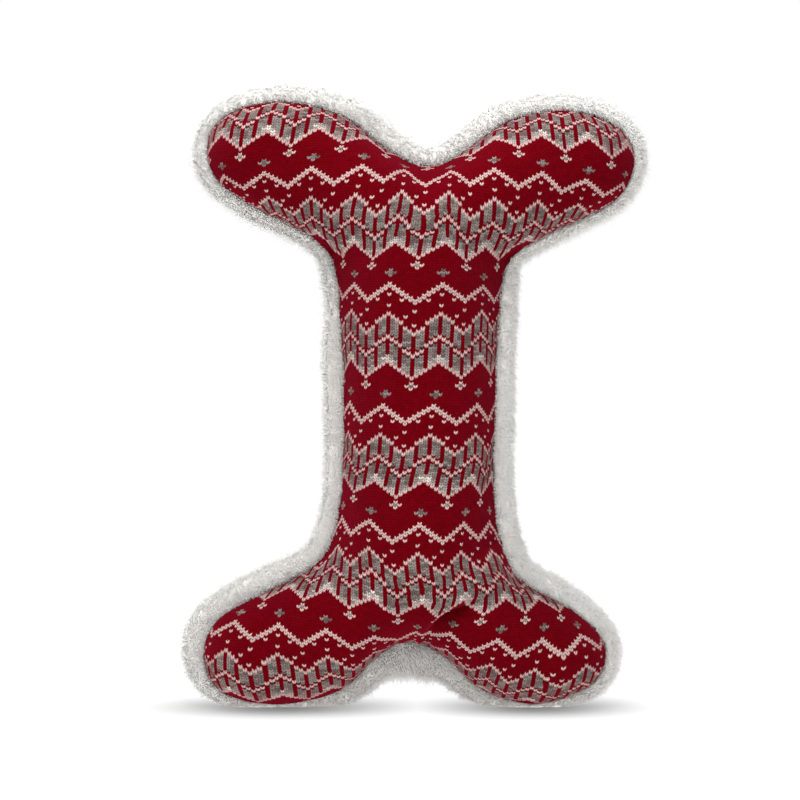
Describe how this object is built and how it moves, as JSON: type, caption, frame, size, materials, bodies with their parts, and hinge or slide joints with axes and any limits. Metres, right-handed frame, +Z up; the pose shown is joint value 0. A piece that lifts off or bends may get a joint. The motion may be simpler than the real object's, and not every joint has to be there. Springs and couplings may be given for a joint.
{
  "type": "bone-shaped plush dog toy",
  "caption": "Bone-shaped stuffed dog toy, knitted patterned front and long-pile plush back, with a reed squeaker in its waist; stands on its two lower lobes.",
  "frame": {"origin": "on the floor, under the middle of the toy's width and depth", "axes": "+Z up, -Y the knitted front, +Y the plush back, +X to the right as seen from the front"},
  "size_m": [0.2316, 0.0886, 0.3084],
  "materials": {
    "knit": "fine jersey knit, red ground with off-white and grey stranded zigzag pattern",
    "plush": "long soft off-white plush pile on a knitted backing",
    "thread": "spun polyester sewing thread",
    "fibre": "loose siliconised polyester fibre",
    "squeaker_bulb": "soft blow-moulded polyethylene, natural colour, satin",
    "squeaker_plug": "moulded polystyrene, satin",
    "reed": "thin polyester film, glossy"
  },
  "bodies": {
    "stuffed_body": {"front_knit_panel": "knit", "back_plush_panel": "plush", "seam_needle_thread": "thread", "seam_bobbin_thread": "thread", "closing_thread": "thread", "fill_waist": "fibre", "fill_upper_left_lobe": "fibre", "fill_upper_right_lobe": "fibre", "fill_lower_left_lobe": "fibre", "fill_lower_right_lobe": "fibre", "squeaker_bulb": "squeaker_bulb"},
    "squeaker_plug": {"squeaker_plug_shell": "squeaker_plug", "squeaker_reed_seat": "squeaker_plug", "squeaker_reed_wedge": "squeaker_plug"},
    "squeaker_reed": {"squeaker_reed": "reed"}
  },
  "joints": [
    {"name": "squeaker_squeeze", "type": "slide", "parent": "stuffed_body", "child": "squeaker_plug", "axis": [0, 1, 0], "range_m": [0, 0.012], "stiffness_N_per_m": 500, "deforming": ["squeaker_bulb"]},
    {"name": "reed_flutter", "type": "hinge", "parent": "squeaker_plug", "child": "squeaker_reed", "pos_m": [0.00075, -0.03105, 0.1555], "axis": [1, 0, 0], "range_deg": [-2, 2], "stiffness_Nm_per_rad": 0.00002}
  ]
}
